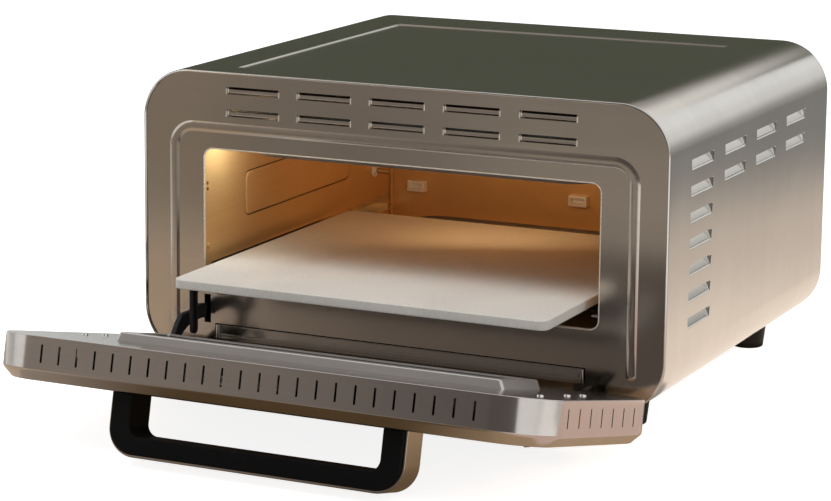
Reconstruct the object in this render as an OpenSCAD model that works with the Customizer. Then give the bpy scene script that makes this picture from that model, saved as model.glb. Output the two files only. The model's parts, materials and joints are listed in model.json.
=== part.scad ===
// Countertop electric pizza oven: louvred steel shell, drop-down vented door and a stone
// on a carrier that slides out as the door comes down. Millimetres, +Z up.

/* [Shell] */
// Width of the outer shell
body_w = 460; // [440:1:500]
// Height of the outer shell, without its feet
shell_h = 242; // [232:1:260]
// Depth of the outer shell
body_d = 396; // [390:1:430]
// Radius of the shell's long edges
corner_r = 42; // [34:1:48]
// Height of the feet below the shell
foot_h = 22; // [20:1:30]
// Thickness of the outer sheet
sheet_t = 1.2; // [1:0.1:1.6]

/* [Opening and cavity] */
// Width of the oven's mouth
mouth_w = 348; // [340:1:352]
// Height of the mouth's lower edge above the shell's underside
mouth_low = 62; // [60:1:64]
// Height of the mouth's upper edge above the shell's underside
mouth_high = 178; // [170:1:184]
// Depth of the cavity behind the shell's front edge
cavity_d = 366; // [350:1:368]

/* [Stone] */
// Side of the square baking stone
stone_w = 323; // [310:1:326]
// Thickness of the stone
stone_t = 8; // [6:0.5:8]
// Height of the stone's top face above the shell's underside
stone_top = 84; // [83.5:0.5:86]
// How far the stone's front edge stands out of the shell with the door down
stone_out = 74; // [60:1:80]

/* [Door] */
// Angle of the door from upright when it rests on its stop
open_angle = 77; // [70:1:79]
// Depth of the door's rim
rim_d = 26.5; // [22:0.5:28]
// Size of the bevel between the rim and the outer face
door_bevel = 8; // [5:0.5:9]
// Number of cooling slits along the top of the door
top_slits = 24; // [16:1:26]
// Number of cooling slits on each side of the door
side_slits = 7; // [5:1:8]
// Outer width of the handle
handle_w = 245; // [220:1:270]
// Distance from the door's face to the outside of the handle's bar
handle_reach = 48; // [42:1:49]

/* [Louvres] */
// Number of louvres in each row above the mouth
front_louvres = 5; // [3:1:5]
// Number of louvres in each row on the sides
side_columns = 4; // [2:1:4]
// Number of louvres down the front column of each side
side_rows = 7; // [3:1:7]

/* [Hidden] */

steel = "#b9b4ac";
dark_steel = "#6f6a62";
liner_steel = "#b0905a";
black_part = "#161616";

// The door's pivot line, measured from the shell's front edge and underside
pivot_y = -14;
pivot_z = 5;
pin_r = 3;
running_gap = 0.05;

// Front plane of the door's inner face, closed, and the door's outline
seal_gap = 1.5;
door_low = 2;
door_in_y = -seal_gap;
door_rim_y = door_in_y - rim_d;
door_out_y = door_rim_y - door_bevel;
door_t = 1.2;
panel_t = 1.2;

// The origin lies under the middle of the whole, door down: half way from the handle-side
// rim of the door to the rear sockets
door_lip_r = shell_h - door_bevel - pivot_z;
door_front = pivot_y + (door_out_y - pivot_y) * cos(open_angle) - door_lip_r * sin(open_angle);
rim_front = pivot_y + (door_rim_y - pivot_y) * cos(open_angle) - (shell_h - pivot_z) * sin(open_angle);
rear_reach = 1.8;
front_y = -(min(door_front, rim_front) + body_d + rear_reach) / 2;

// Fascia plane, just inside the shell's front edge
fascia_y = 2;
fascia_t = 1.2;
fascia_back = fascia_y + fascia_t;
mouth_corner = 8;
inner_w = body_w - 2 * sheet_t;

// Cavity liner
liner_t = 1;
cavity_x = mouth_w / 2 + 2;
cavity_low = 57;
cavity_high = 190;
emboss_d = 1.5;
emboss_y = [77, 278];
emboss_z = [107, 146];

// Stone carrier
stone_y = -stone_out;
stone_low = stone_top - stone_t;
carrier_t = 1.5;
rail_top = stone_low - 5.3;
wing_low = rail_top + 0.3;
link_x = 158;
link_t = 3.5;
link_w = 8.5;
link_len = 34;
link_y = stone_y + 29;
link_z = stone_low - link_w / 2 - 0.35;
link_pin_r = 2;

// Hinge arms and brackets
arm_x = 171;
arm_t = 4.5;
arm_in = 33;
arm_out = 45;
arm_hump = 52;
// how far the arc reaches round the pivot, from the closed door on, and where it starts
arm_end = 93;
arm_start = 77;
// the shoulder's outline about the pivot, door closed: y towards the oven, z up
arm_shoulder = [
    [4, 48], [13.8, 55.5], [32.9, 42.2], [35.6, 40.1], [36, 32.4], [38.2, 23.2], [44, 10.2], [44, 8],
    [32, 8], [29.6, 18], [25.2, 27.4], [14.3, 40.2], [4, 33]
];
arm_slot_w = 6;
arm_slot = [
    pivot_z + sqrt(pow(arm_in, 2) - pow(fascia_back - pivot_y, 2)) - 2,
    pivot_z + sqrt(pow(arm_hump, 2) - pow(fascia_y - pivot_y, 2)) + 0.8
];
panel_slot = [pivot_z + 36.8, pivot_z + 55.8];
bracket_top = 13;
bracket_x = 163;
bracket_t = 3;
notch_x = [150, 178];
notch_top = 25;

// Window
window_w = 328;
window_low = 83;
window_high = 158;
window_frame_w = 12;
window_rise = 7;
glass_t = 4;

// Controls on the door's lower band
band_z = 58;
knob_x = 150;
knob_r = 15;
knob_h = 9;
control_face = door_out_y - 1;

// Panel pressed down in the top
press_half = 157;
press_y = [30, 340];
press_d = 2.4;

// Feet
foot_x = 182;
foot_front = 54;
foot_rear = body_d - 52;
foot_r = 16;
foot_hole_r = 2.2;

// Half width of the base plate, which ends where the shell's edges start to curve
base_half = body_w / 2 - corner_r - 2.3;

// Rear panel
edge_gap = body_w / 2 - corner_r + 10;
inlet_x = 150;
inlet_z = 40;
rear_screws = [[-200, 60], [200, 60], [-200, 190], [200, 190], [0, 226], [0, 16]];

// Recessed strip below the mouth
sill_x = 163;
sill_z = [18.5, 30.5];

// Heaters: the upper and lower heights, and where their legs leave the cavity
heater_z = [171, 64];
heater_r = 3.3;
leg_r = 3;
legs_y = [300, 312];

// Handle
handle_z = 213;
handle_bar = 16;
handle_leg = 18.5;
handle_depth = 15.5;
handle_corner = 22;
band_t = 2;
handle_screw_x = 112;
screw_r = 2.5;

// Louvres, pressed inwards: flush along the bottom and open behind the top edge
louvre_w = 47.5;
louvre_pitch = 64.5;
louvre_h = 6.5;
front_rows = [230, 211.5];
side_pitch = 78.2;
side_start = 48;
side_len = 52;
side_top = 194;
side_step = 20.9;
side_h = 9;
side_depth = 4.5;
side_foot = 8;
side_gap = 0.5;
front_depth = 2.2;
front_foot = 1.6;
front_gap = 2.4;

$fn = 64;

// A box given by its ranges in x, y and z
module box(x, y, z) {
    translate([x[0], y[0], z[0]]) cube([x[1] - x[0], y[1] - y[0], z[1] - z[0]]);
}

// Places oven coordinates (front edge y = 0, underside z = 0) in the part's frame
module on_oven() {
    translate([0, front_y, foot_h]) children();
}

// Places the closed door's coordinates in the frame, with the door down on its stop
module on_door() {
    on_oven() translate([0, pivot_y, pivot_z]) rotate([open_angle, 0, 0])
        translate([0, -pivot_y, -pivot_z]) children();
}

// A rectangle with round corners, centred on x and given by its bottom and top
module round_rect(w, low, high, r) {
    translate([-w / 2 + r, low]) square([w - 2 * r, high - low]);
    translate([-w / 2, low + r]) square([w, high - low - 2 * r]);
    for (x = [-1, 1], z = [low + r, high - r]) {
        translate([x * (w / 2 - r), z]) circle(r);
    }
}

// Extrudes an XZ outline from y0 to y1
module plate_y(y0, y1) {
    translate([0, y1, 0]) rotate([90, 0, 0]) linear_extrude(y1 - y0) children();
}

// Extrudes a YZ outline from x0 to x1
module plate_x(x0, x1) {
    translate([x0, 0, 0]) rotate([90, 0, 90]) linear_extrude(x1 - x0) children();
}

// A rod along X
module rod_x(x0, x1, y, z, r) {
    translate([x0, y, z]) rotate([0, 90, 0]) cylinder(r = r, h = x1 - x0);
}

// A rod along Y
module rod_y(y0, y1, x, z, r) {
    translate([x, y1, z]) rotate([90, 0, 0]) cylinder(r = r, h = y1 - y0);
}

// Outline of a louvre's pocket behind a sheet whose outer face is at u = 0. Its flap leans
// back to its full depth at the height foot
module pocket_wall(depth, h, foot) {
    polygon([[-sheet_t + 0.1, -0.8], [-sheet_t + 0.1, h], [-depth - 0.8, h], [-depth - 0.8, foot]]);
}

// The space inside that pocket, open through the back above the flap
module pocket_space(depth, h, foot, gap) {
    polygon([
        [0.5, 0.2], [0.5, h + 0.1], [-depth - 1, h + 0.1], [-depth - 1, h - gap], [-depth, h - gap],
        [-depth, foot], [-0.4, 0.2]
    ]);
}

// A pocket along Y, with closed ends
module pocket_along_y(length, depth, h, foot, gap) {
    difference() {
        translate([0, length, 0]) rotate([90, 0, 0]) linear_extrude(length) pocket_wall(depth, h, foot);
        translate([0, length - 0.8, 0]) rotate([90, 0, 0])
            linear_extrude(length - 1.6) pocket_space(depth, h, foot, gap);
    }
}

// Top corner of side louvre column c, row r
function side_louvre_y(c) = side_start + c * side_pitch;
function side_louvre_z(r) = side_top - r * side_step;

// Runs its children at each louvre of one side
module each_side_louvre() {
    for (c = [0:side_columns - 1], r = [0:side_rows - 1]) {
        if (r < 2 || c == 0) {
            translate([0, side_louvre_y(c), side_louvre_z(r) - side_h]) children();
        }
    }
}

// Runs its children at each front louvre
module each_front_louvre() {
    for (i = [0:front_louvres - 1], z = front_rows) {
        translate([(i - (front_louvres - 1) / 2) * louvre_pitch, 0, z - louvre_h]) children();
    }
}

module wrap_side_louvres(side) {
    translate([side * body_w / 2, 0, 0]) scale([side, 1, 1]) each_side_louvre()
        pocket_along_y(side_len, side_depth, side_h, side_foot, side_gap);
}

module outer_wrap() {
    color(steel) on_oven() {
        difference() {
            union() {
                plate_y(0, body_d) difference() {
                    round_rect(body_w, 0, shell_h, corner_r);
                    round_rect(inner_w, sheet_t, shell_h - sheet_t, corner_r - sheet_t);
                    translate([-base_half - 0.3, -1]) square([2 * base_half + 0.6, 3]);
                }
                top_press(sheet_t, [shell_h - press_d - sheet_t, shell_h - sheet_t]);
            }
            for (side = [-1, 1]) {
                translate([side * body_w / 2, 0, 0]) each_side_louvre()
                    box([-4, 4], [0.8, side_len - 0.8], [0.2, side_h]);
            }
            top_press(0, [shell_h - press_d, shell_h + 1]);
        }
        wrap_side_louvres(-1);
        wrap_side_louvres(1);
    }
}

// The panel pressed down in the top, grown by an edge and given by its lowest and highest level
module top_press(grown, z) {
    box([-press_half - grown, press_half + grown], [press_y[0] - grown, press_y[1] + grown], z);
}

module base_plate() {
    edge = base_half;
    color(dark_steel) on_oven() {
        difference() {
            union() {
                box([-edge, edge], [fascia_back + 0.5, body_d - 3], [0, sheet_t]);
                box([-edge, edge], [fascia_back + 0.5, fascia_back + 1.7], [0, 10]);
                // side ledges that lap the wrap's lower lips
                for (side = [-1, 1]) {
                    scale([side, 1, 1]) box([edge - 12, edge + 2], [20, body_d - 4], [sheet_t, 2 * sheet_t]);
                }
            }
            for (i = [-4:4], y = [120, 200, 280]) {
                box([i * 34 - 10, i * 34 + 10], [y, y + 4], [-1, 3]);
            }
            for (side = [-1, 1]) {
                box([side * bracket_x - 4, side * bracket_x + 4], [0, 24], [-1, 12]);
            }
            for (x = [-foot_x, foot_x], y = [foot_front, foot_rear]) {
                translate([x, y, -1]) cylinder(r = foot_hole_r, h = 5);
            }
        }
    }
}

module rear_panel() {
    y0 = body_d - 3;
    color(dark_steel) on_oven() difference() {
        union() {
            plate_y(y0, y0 + sheet_t)
                round_rect(inner_w - 0.6, sheet_t + 0.3, shell_h - sheet_t - 0.3, corner_r - 1.5);
            plate_y(y0 - 9, y0) difference() {
                round_rect(inner_w - 0.6, sheet_t * 2 + 0.3, shell_h - sheet_t - 0.3, corner_r - 1.5);
                round_rect(inner_w - 3, sheet_t * 3 + 0.3, shell_h - sheet_t - 1.5, corner_r - 2.7);
            }
        }
        box([inlet_x - 14.3, inlet_x + 14.3], [y0 - 1, y0 + 3], [inlet_z - 10.3, inlet_z + 10.3]);
        for (i = [-5:5], z = [170, 186, 202]) {
            box([i * 28 - 9, i * 28 + 9], [y0 - 1, y0 + 3], [z, z + 4]);
        }
        for (p = rear_screws) {
            rod_y(y0 - 1, y0 + 3, p[0], p[1], 2);
        }
        box([-edge_gap, edge_gap], [y0 - 10, y0 - 0.01], [0, sheet_t * 3 + 0.4]);
    }
}

// The raised border round the mouth, open at the bottom
module mouth_border() {
    outer = 412;
    band = 9;
    top = 200;
    low = 30;
    r = 20;
    difference() {
        round_rect(outer, low - r, top, r);
        round_rect(outer - 2 * band, low - r, top - band, r - band);
        translate([-outer / 2 - 1, low - r - 1]) square([outer + 2, r + 1]);
    }
    for (side = [-1, 1]) {
        translate([side * (outer - band) / 2, low]) circle(band / 2);
    }
}

module front_fascia() {
    w = inner_w - 0.6;
    high = shell_h - sheet_t - 0.3;
    color(steel) on_oven() {
        difference() {
            union() {
                plate_y(fascia_y, fascia_back) round_rect(w, sheet_t + 0.3, high, corner_r - 1.5);
                plate_y(fascia_back, fascia_back + 12) difference() {
                    round_rect(w, sheet_t + 0.3, high, corner_r - 1.5);
                    round_rect(w - 2.4, sheet_t + 1.5, high - 1.2, corner_r - 2.7);
                    translate([-w / 2 + corner_r, 0]) square([w - 2 * corner_r, 6]);
                }
                plate_y(fascia_y - 1.2, fascia_y) mouth_border();
            }
            plate_y(-2, 8) round_rect(mouth_w, mouth_low, mouth_high, mouth_corner);
            each_front_louvre() box([-louvre_w / 2 + 0.8, louvre_w / 2 - 0.8], [0, 6], [0.2, louvre_h]);
            box([-sill_x - 0.3, sill_x + 0.3], [0, 6], [sill_z[0] - 0.3, sill_z[1] + 0.3]);
            for (side = [-1, 1]) {
                box([side * bracket_x - 2.2, side * bracket_x + 2.2], [0, 6], [1, bracket_top + 0.6]);
            }
            // slot for the left arm and notch for the link beside it
            box([-arm_x - arm_slot_w / 2, -arm_x + arm_slot_w / 2], [0, 6], arm_slot);
            box([-link_x - 4, -link_x + 4], [0, 6], [mouth_low - 5, mouth_low + 3]);
        }
        each_front_louvre() translate([louvre_w / 2, fascia_y, 0]) rotate([0, 0, -90])
            mirror([0, 1, 0]) pocket_along_y(louvre_w, front_depth, louvre_h, front_foot, front_gap);
    }
}

// The recessed strip below the mouth, with its two folded lips
module sill_strip() {
    color(dark_steel) on_oven() {
        box([-sill_x, sill_x], [fascia_y + 2.2, fascia_y + 3.4], sill_z);
        box([-sill_x, sill_x], [fascia_y - 1, fascia_y + 2.2], [sill_z[0], sill_z[0] + 1.2]);
        box([-sill_x, sill_x], [fascia_y - 0.4, fascia_y + 2.2], [sill_z[0] + 2.6, sill_z[0] + 3.6]);
        box([-sill_x, sill_x], [fascia_y, fascia_y + 2.2], [sill_z[1] - 1, sill_z[1]]);
    }
}

module cavity_side(side) {
    x_in = cavity_x;
    color(liner_steel) on_oven() scale([side, 1, 1]) difference() {
        union() {
            box([x_in, x_in + liner_t], [fascia_back + 0.3, cavity_d], [cavity_low, cavity_high]);
            // pressed panel that stands out of the wall
            box([x_in - emboss_d, x_in], emboss_y, emboss_z);
        }
        box([x_in - emboss_d + 0.8, x_in + 2], [emboss_y[0] + 1, emboss_y[1] - 1],
            [emboss_z[0] + 1, emboss_z[1] - 1]);
        for (z = [142, 146]) {
            rod_x(x_in - 2, x_in + 3, 11.8, z, 1.1);
        }
        if (side < 0) {
            rod_x(x_in - 2, x_in + 3, 330, 106, 3.1);
        }
        if (side > 0) {
            box([x_in - 3, x_in + 3], [318, 346], [146, 164]);
        }
        for (z = heater_z, y = legs_y) {
            if (side > 0) {
                rod_x(x_in - 2, x_in + 3, y, z, 3.6);
            }
        }
    }
}

module cavity_ceiling() {
    color(liner_steel) on_oven() {
        box([-cavity_x, cavity_x], [fascia_back + 0.3, cavity_d], [cavity_high, cavity_high + liner_t]);
        // front hanger that closes the step above the mouth
        box([-cavity_x, cavity_x], [fascia_back + 0.3, fascia_back + 1.3], [mouth_high + 1, cavity_high]);
    }
}

module cavity_floor() {
    color(liner_steel) on_oven() difference() {
        box([-cavity_x, cavity_x], [fascia_back + 0.3, cavity_d], [cavity_low - liner_t, cavity_low]);
        box([-link_x - 4, -link_x + 4], [0, 14], [cavity_low - 3, cavity_low + 2]);
    }
}

module cavity_back_wall() {
    color(liner_steel) on_oven() {
        box([-cavity_x, cavity_x], [cavity_d, cavity_d + liner_t],
            [cavity_low - liner_t, cavity_high + liner_t]);
        // shallow pressed panel
        box([-120, 120], [cavity_d - 1, cavity_d], [110, 160]);
    }
}

module slide_rail(side) {
    x_wall = cavity_x - 0.2;
    color(steel) on_oven() scale([side, 1, 1]) {
        box([x_wall - 1.5, x_wall], [16, 356], [rail_top - 1.5, rail_top + 9]);
        box([x_wall - 13, x_wall], [16, 356], [rail_top - 1.5, rail_top]);
    }
}

// A tubular heater: a loop in the plane z, both ends leaving through the right wall
module heater(z, half_x, y0, y1) {
    bend = 24;
    x_out = cavity_x + 16;
    color("#4a4038") on_oven() translate([0, 0, z]) {
        // left run
        rod_y(y0 + bend, y1 - bend, -half_x, 0, heater_r);
        // front run
        rod_x(-half_x + bend, half_x - bend, y0, 0, heater_r);
        translate([-half_x + bend, y0 + bend, 0]) quarter(bend, 180);
        translate([half_x - bend, y0 + bend, 0]) quarter(bend, 270);
        // right run, cut at the two legs that leave through the wall
        rod_y(y0 + bend, legs_y[0] + heater_r, half_x, 0, heater_r);
        rod_x(half_x, x_out, legs_y[0], 0, leg_r);
        rod_y(legs_y[1] - heater_r, y1 - bend, half_x, 0, heater_r);
        rod_x(half_x, x_out, legs_y[1], 0, leg_r);
        // back run
        translate([-half_x + bend, y1 - bend, 0]) quarter(bend, 90);
        rod_x(-half_x + bend, half_x - bend, y1, 0, heater_r);
        translate([half_x - bend, y1 - bend, 0]) quarter(bend, 0);
    }
}

// A quarter turn of heater tube, from the given angle on
module quarter(r, from) {
    rotate([0, 0, from]) rotate_extrude(angle = 90) translate([r, 0]) circle(heater_r, $fn = 24);
}

module upper_element() {
    heater(heater_z[0], 150, 40, 340);
}

module lower_element() {
    heater(heater_z[1], 130, 60, 340);
}

// Spring clips that hold the upper element to the ceiling
module element_clips() {
    color(steel) on_oven() for (x = [-150, 150], y = [90, 190, 270]) {
        difference() {
            union() {
                box([x - 1, x + 1], [y, y + 8], [heater_z[0] + heater_r + 0.2, cavity_high]);
                rod_y(y, y + 8, x, heater_z[0], heater_r + 1.3);
            }
            rod_y(y - 1, y + 9, x, heater_z[0], heater_r + 0.15);
        }
    }
}

// Folded stops on the back wall, level with the stone
module stop_clips() {
    color(steel) on_oven() for (x = [-147, 13.5, 150]) {
        difference() {
            box([x - 9, x + 9], [cavity_d - 8, cavity_d], [80.5, 94]);
            box([x - 6, x + 6], [cavity_d - 9, cavity_d - 3], [84.5, 90]);
        }
    }
}

module temperature_probe() {
    color(steel) on_oven() {
        rod_x(-cavity_x - 14, -cavity_x + 16, 330, 106, 2.5);
        difference() {
            rod_x(-cavity_x - 4, -cavity_x - liner_t, 330, 106, 6);
            rod_x(-cavity_x - 5, -cavity_x, 330, 106, 2.4);
        }
    }
}

module lamp_housing() {
    x0 = cavity_x + liner_t + 0.2;
    color(steel) on_oven() difference() {
        box([x0, x0 + 30], [316, 348], [144, 166]);
        box([x0 - 1, x0 + 28], [318, 346], [146, 164]);
    }
    color("white") on_oven() rod_x(x0 + 12, x0 + 28.5, 332, 155, 5);
}

module lamp_lens() {
    color("#ffe9b0") on_oven() box([cavity_x - 2, cavity_x + 0.9], [318.3, 345.7], [146.3, 163.7]);
}

module insulation_slab(x, y, z) {
    color("#e8e2d0") on_oven() box(x, y, z);
}

module insulation_top() {
    insulation_slab([-180, 180], [20, 360], [cavity_high + 1.3, cavity_high + 21]);
}

module insulation_left() {
    insulation_slab([-cavity_x - 26, -cavity_x - 15], [20, 350], [60, 186]);
}

module insulation_right() {
    insulation_slab([cavity_x + 1.3, cavity_x + 16], [20, 290], [60, 186]);
}

module terminal_block() {
    color("#e6e0d2") on_oven() difference() {
        box([196, 214], [300, 340], [30, 44]);
        for (y = [308, 320, 332]) {
            translate([205, y, 36]) cylinder(r = 2.2, h = 10);
        }
    }
}

module thermal_cutout() {
    color("#caa46a") on_oven() {
        translate([60, 150, cavity_high + 21.1]) cylinder(r = 11, h = 7);
        box([50, 70], [149, 151], [cavity_high + 28, cavity_high + 34]);
    }
}

module mains_inlet() {
    y1 = body_d - 1.7;
    color(black_part) on_oven() difference() {
        union() {
            box([inlet_x - 14, inlet_x + 14], [y1 - 20, y1], [inlet_z - 10, inlet_z + 10]);
            box([inlet_x - 20, inlet_x + 20], [y1 - 0.1, y1 + 3.5], [inlet_z - 14, inlet_z + 14]);
        }
        box([inlet_x - 11.5, inlet_x + 11.5], [y1 - 16, y1 + 5], [inlet_z - 7.5, inlet_z + 7.5]);
    }
}

module inlet_pins() {
    y1 = body_d - 1.7;
    color(steel) on_oven() for (p = [[-7, -2], [0, 2.5], [7, -2]]) {
        translate([inlet_x + p[0], y1 - 16, inlet_z + p[1]]) box([-1, 1], [0, 14], [-2.2, 2.2]);
    }
}

module foot(x, y) {
    color(black_part) on_oven() translate([x, y, 0]) difference() {
        translate([0, 0, -foot_h]) cylinder(r1 = foot_r - 2.5, r2 = foot_r, h = foot_h);
        translate([0, 0, -foot_h - 1]) cylinder(r = 6, h = 9);
        translate([0, 0, -foot_h - 1]) cylinder(r = foot_hole_r, h = foot_h + 2);
    }
}

module foot_screws() {
    color(steel) on_oven() for (x = [-foot_x, foot_x], y = [foot_front, foot_rear]) {
        translate([x, y, -foot_h + 5.6]) cylinder(r = 4, h = 2.4);
        translate([x, y, -foot_h + 7]) cylinder(r = 2, h = foot_h - 2);
    }
}

module panel_screws() {
    color(steel) on_oven() for (p = rear_screws) {
        rod_y(body_d - 1.8, body_d - 0.2, p[0], p[1], 3.8);
        rod_y(body_d - 10, body_d - 1.8, p[0], p[1], 1.9);
    }
}

// A plate on edge that carries the hinge pin in front of the fascia
module hinge_bracket(side) {
    color(dark_steel) on_oven() scale([side, 1, 1]) difference() {
        union() {
            plate_x(bracket_x - bracket_t / 2, bracket_x + bracket_t / 2) union() {
                translate([pivot_y, pivot_z - 3.5])
                    square([fascia_y + 18 - pivot_y, bracket_top - pivot_z + 3.5]);
                translate([pivot_y, pivot_z + 0.75]) circle(7.25);
            }
            translate([bracket_x, fascia_y, 0])
                box([-bracket_t / 2 - 14, 0], [16, 18], [1.5, bracket_top]);
        }
        rod_x(bracket_x - 5, bracket_x + 5, pivot_y, pivot_z, pin_r);
    }
}

module hinge_pin(side) {
    color(steel) on_oven() scale([side, 1, 1]) {
        rod_x(bracket_x - 4, arm_x + arm_t / 2 + 2, pivot_y, pivot_z, pin_r);
        rod_x(bracket_x - 6, bracket_x - bracket_t / 2 - 0.2, pivot_y, pivot_z, pin_r + 1.8);
    }
}

module door_outline(inset) {
    round_rect(body_w - 2 * inset, door_low + inset, shell_h - inset, corner_r - inset, $fn = 48);
}

// The closed form of the door, inset by a wall, from the inner face at y0
module door_form(inset, y0) {
    hull() {
        plate_y(door_rim_y, y0) door_outline(inset);
        plate_y(door_out_y + inset, door_rim_y) door_outline(door_bevel + inset * 0.4);
    }
}

module door_shell() {
    slit_w = 1.8;
    slit_h = 14;
    slit_mid = (door_in_y + door_rim_y) / 2;
    top_pitch = 15.5;
    side_pitch_z = 22.6;
    side_first = 58;
    color(steel) on_door() difference() {
        door_form(0, door_in_y);
        door_form(door_t, door_in_y + 1);
        // window
        plate_y(door_out_y - 1, door_out_y + 3) round_rect(window_w - 20, window_low + 2, window_high, 10);
        // cooling slits in the rim
        for (i = [0:top_slits - 1]) {
            x = (i - (top_slits - 1) / 2) * top_pitch;
            translate([x, slit_mid, shell_h])
                box([-slit_w / 2, slit_w / 2], [-slit_h / 2, slit_h / 2], [-4, 2]);
        }
        for (i = [0:side_slits - 1], side = [-1, 1]) {
            z = side_first + i * side_pitch_z;
            translate([side * body_w / 2, slit_mid, z])
                box([-4, 4], [-slit_h / 2, slit_h / 2], [-slit_w / 2, slit_w / 2]);
        }
        // room for the hinge brackets and arms
        for (side = [-1, 1]) {
            translate([side > 0 ? 0 : -notch_x[0] - notch_x[1], 0, 0])
                box(notch_x, [door_rim_y - 0.01, 2], [-2, notch_top]);
        }
        for (x = [-knob_x, 0, knob_x]) {
            rod_y(door_out_y - 1, door_out_y + 3, x, band_z, x == 0 ? 7 : 5);
        }
        for (x = [-handle_screw_x, handle_screw_x]) {
            rod_y(door_out_y - 1, door_out_y + 3, x, handle_z, screw_r + 0.2);
        }
    }
}

// Outline of the clear opening in the window's frame
module window_hole() {
    inset = window_frame_w;
    round_rect(window_w - 2 * inset, window_low + inset, window_high - inset, 4);
}

module door_inner_panel() {
    color(steel) on_door() difference() {
        plate_y(door_in_y - panel_t, door_in_y) door_outline(door_t + 0.3);
        plate_y(door_in_y - 2, door_in_y + 1) window_hole();
        for (side = [-1, 1]) {
            translate([side > 0 ? 0 : -notch_x[0] - notch_x[1], 0, 0])
                box(notch_x, [door_in_y - 3, door_in_y + 1], [-2, notch_top]);
        }
        box([-arm_x - arm_slot_w / 2, -arm_x + arm_slot_w / 2], [door_in_y - 3, door_in_y + 1], panel_slot);
    }
}

// The raised frame on the inner panel
module window_frame() {
    color(steel) on_door() difference() {
        plate_y(door_in_y, door_in_y + window_rise) round_rect(window_w, window_low, window_high, 3);
        plate_y(door_in_y - 1, door_in_y + window_rise + 1) window_hole();
        plate_y(door_in_y - 1, door_in_y + window_rise - 1.2)
            round_rect(window_w - 2.4, window_low + 1.2, window_high - 1.2, 2);
    }
}

module window_inner_glass() {
    inset = 4;
    color("#20242855") on_door() plate_y(door_in_y + 1.5, door_in_y + 1.5 + glass_t)
        round_rect(window_w - 2 * inset, window_low + inset, window_high - inset, 5);
}

module window_outer_glass() {
    color("#20242855") on_door() plate_y(door_out_y + door_t + 0.2, door_out_y + door_t + 0.2 + glass_t)
        round_rect(window_w - 8, window_low - 3, window_high + 5, 8);
}

// U-shaped outline of the handle in plan: legs towards the door, bar across
module handle_outline(w, reach, leg, bar, r) {
    difference() {
        round_rect(w, -reach, r, r);
        round_rect(w - 2 * leg, -reach + bar, r + 1, 9);
        translate([-w, 0]) square([2 * w, 2 * r + 2]);
    }
}

module handle_grip() {
    w = handle_w - 2 * band_t;
    color(black_part) on_door() difference() {
        translate([0, door_out_y, handle_z - handle_depth]) linear_extrude(2 * handle_depth)
            handle_outline(w, handle_reach - band_t, handle_leg - band_t, handle_bar - band_t,
                handle_corner - band_t);
        for (x = [-handle_screw_x, handle_screw_x]) {
            rod_y(door_out_y - 10, door_out_y + 1, x, handle_z, screw_r + 0.2);
        }
    }
}

// Stainless strap round the outside of the grip
module handle_band() {
    inset = 1;
    color(steel) on_door() translate([0, door_out_y, handle_z - handle_depth + inset])
        linear_extrude(2 * (handle_depth - inset)) difference() {
            handle_outline_solid(handle_w, handle_reach, handle_corner);
            handle_outline_solid(handle_w - 2 * band_t, handle_reach - band_t, handle_corner - band_t);
        }
}

module handle_outline_solid(w, reach, r) {
    difference() {
        round_rect(w, -reach, r, r);
        translate([-w, 0]) square([2 * w, 2 * r + 2]);
    }
}

module door_screws() {
    color(steel) on_door() {
        for (x = [-handle_screw_x, handle_screw_x]) {
            rod_y(door_out_y - 8, door_out_y + door_t + 3, x, handle_z, screw_r);
            rod_y(door_out_y + door_t, door_out_y + door_t + 3, x, handle_z, 4.5);
        }
        for (x = [-205, 205], z = [103, 135]) {
            rod_y(door_in_y, door_in_y + 1.2, x, z, 2.8);
        }
        rod_y(door_in_y, door_in_y + 1.2, 205, 188, 2.8);
    }
}

// A sleeve on the pin and a plate along the back of the door's inner panel
module hinge_lug(side) {
    scale([side, 1, 1]) {
        plate_x(arm_x - arm_t / 2, arm_x + arm_t / 2) translate([pivot_y, pivot_z]) difference() {
            union() {
                circle(7.5);
                translate([3, 0]) square([door_in_y - panel_t - pivot_y - 3, 74]);
            }
            circle(pin_r + running_gap);
        }
        // foot flange against the inner panel
        box([arm_x - 9, arm_x - arm_t / 2], [door_in_y - 2 * panel_t, door_in_y - panel_t], [30, 76]);
    }
}

module hinge_lug_right() {
    color(black_part) on_door() hinge_lug(1);
}

// Outline of the arm about the pivot: a shoulder at the door, then an arc
module arm_outline() {
    reach = 2 * arm_out;
    intersection() {
        polygon(arm_shoulder);
        union() {
            circle(arm_hump);
            // this stretch stays in front of the fascia
            square([14, 60]);
        }
    }
    difference() {
        circle(arm_out);
        circle(arm_in);
        polygon([[0, 0], [reach * sin(arm_start), reach * cos(arm_start)], [reach, reach], [-reach, reach],
            [-reach, -reach], [reach, -reach], [reach * sin(arm_end), reach * cos(arm_end)]]);
    }
}

// The left lug with the arm, which swings through the fascia's slot as the door closes
module hinge_arm_left() {
    color(black_part) on_door() {
        hinge_lug(-1);
        plate_x(-arm_x - arm_t / 2, -arm_x + arm_t / 2) translate([pivot_y, pivot_z]) arm_outline();
    }
}

// Black trim strip behind the controls
module control_plate() {
    color(black_part) on_door() difference() {
        plate_y(control_face, door_out_y) round_rect(372, band_z - 21, band_z + 21, 8);
        for (x = [-knob_x, knob_x]) {
            rod_y(control_face - 1, door_out_y + 1, x, band_z, 5);
        }
        rod_y(control_face - 1, door_out_y + 1, 0, band_z, 7);
        for (x = [-30, 30]) {
            rod_y(control_face - 1, door_out_y + 1, x, band_z, 2.6);
        }
    }
}

module control_body(x, w, h) {
    color("#d8d2c4") on_door() difference() {
        translate([x, door_out_y + door_t, band_z])
            box([-w / 2, w / 2], [0.1, 18], [-h / 2, h / 2]);
        rod_y(door_out_y, door_out_y + 12, x, band_z, 3.3);
    }
}

module thermostat() {
    control_body(-knob_x, 40, 34);
}

module timer() {
    control_body(knob_x, 34, 34);
}

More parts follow.
